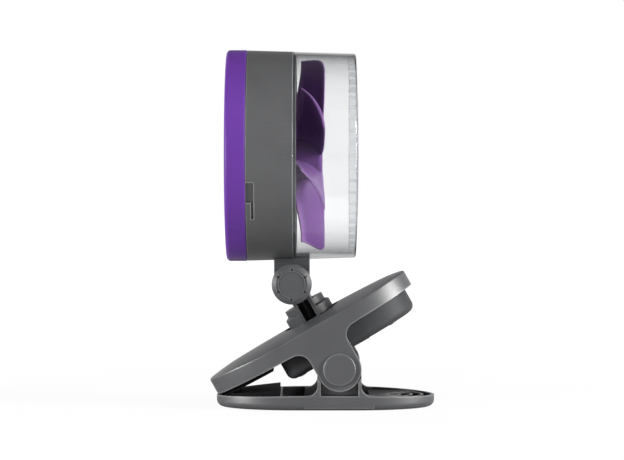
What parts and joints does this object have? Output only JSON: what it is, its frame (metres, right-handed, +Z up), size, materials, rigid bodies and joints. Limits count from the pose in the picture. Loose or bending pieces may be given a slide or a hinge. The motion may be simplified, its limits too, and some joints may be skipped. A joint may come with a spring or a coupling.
{
  "type": "battery clip fan",
  "caption": "Battery fan in a clear-fronted round head, on a tilting and swivelling arm, on a sprung clip whose lower jaw is its stand.",
  "frame": {"origin": "under the middle of the lower jaw, on the surface it rests on", "axes": "+X the way the air blows at rest, +Z up, +Y to the side opposite the tilt knob"},
  "size_m": [0.1492, 0.1401, 0.2366],
  "materials": {
    "clip_plastic": "fine-grained dark grey moulding",
    "arm_plastic": "fine-grained dark grey moulding",
    "housing_plastic": "smooth satin grey moulding",
    "cover_plastic": "satin purple moulding",
    "blade_plastic": "translucent purple moulding",
    "clear_plastic": "clear polished moulding",
    "grip_rubber": "matt black rubber",
    "spring_steel": "drawn steel",
    "screw_steel": "zinc-plated steel",
    "motor_steel": "drawn plated can",
    "motor_plastic": "natural nylon",
    "bronze": "sintered bronze",
    "brass": "turned brass",
    "cell_wrap": "printed foil wrap with bare ends",
    "contact_nickel": "nickel-plated spring steel",
    "switch_plastic": "black moulding",
    "wire_cover": "soft coloured insulation",
    "fibre": "red-brown fibre"
  },
  "bodies": {
    "lower_jaw": {"base_jaw": "clip_plastic", "base_grip_pad": "grip_rubber", "pivot_pin": "screw_steel", "torsion_spring": "spring_steel"},
    "upper_jaw": {"upper_jaw": "clip_plastic", "pivot_caps": "clip_plastic", "jaw_grip_pad": "grip_rubber", "jaw_under_cover": "arm_plastic", "under_cover_screws": "screw_steel", "swivel_spring_washer": "spring_steel"},
    "arm": {"swivel_yoke": "arm_plastic", "swivel_washer": "screw_steel", "swivel_screw": "screw_steel", "tilt_bolt": "screw_steel"},
    "knob": {"tilt_knob": "clip_plastic", "knob_insert": "brass"},
    "head": {"neck_bracket": "arm_plastic", "neck_screws": "screw_steel", "friction_washers": "fibre", "housing": "housing_plastic", "front_shroud": "clear_plastic", "finger_guard": "clear_plastic", "switch_body": "switch_plastic", "motor_can": "motor_steel", "motor_bearing": "bronze", "motor_end_cap": "motor_plastic", "motor_screws": "screw_steel", "battery_cells": "cell_wrap", "contact_plates": "contact_nickel", "contact_springs": "contact_nickel", "wires": "wire_cover"},
    "rear_cover": {"rear_cover": "cover_plastic"},
    "impeller": {"impeller": "blade_plastic", "motor_shaft": "screw_steel"},
    "switch": {"switch_slider": "switch_plastic"}
  },
  "joints": [
    {"name": "jaw_hinge", "type": "hinge", "parent": "lower_jaw", "child": "upper_jaw", "pos_m": [0.009, 0, 0.0271], "axis": [0, 1, 0], "range_deg": [0, 50], "stiffness_Nm_per_rad": 0.6, "springref_deg": -74.48, "deforming": ["torsion_spring"]},
    {"name": "swivel", "type": "hinge", "parent": "upper_jaw", "child": "arm", "pos_m": [0.009, 0, 0.0271], "axis": [-0.4939, 0, 0.8695], "continuous": true},
    {"name": "knob_turn", "type": "hinge", "parent": "arm", "child": "knob", "pos_m": [-0.02232, 0, 0.08223], "axis": [0, 1, 0], "continuous": true},
    {"name": "head_tilt", "type": "hinge", "parent": "arm", "child": "head", "pos_m": [-0.02232, 0, 0.08223], "axis": [0, 1, 0], "range_deg": [-80, 24]},
    {"name": "cover_turn", "type": "hinge", "parent": "head", "child": "rear_cover", "pos_m": [-0.055, 0, 0.16663], "axis": [-1, 0, 0], "range_deg": [0, 20]},
    {"name": "impeller_spin", "type": "hinge", "parent": "head", "child": "impeller", "pos_m": [-0.01, 0, 0.16663], "axis": [-1, 0, 0], "continuous": true},
    {"name": "switch_slide", "type": "slide", "parent": "head", "child": "switch", "axis": [0, 0, 1], "range_m": [0, 0.008]}
  ]
}
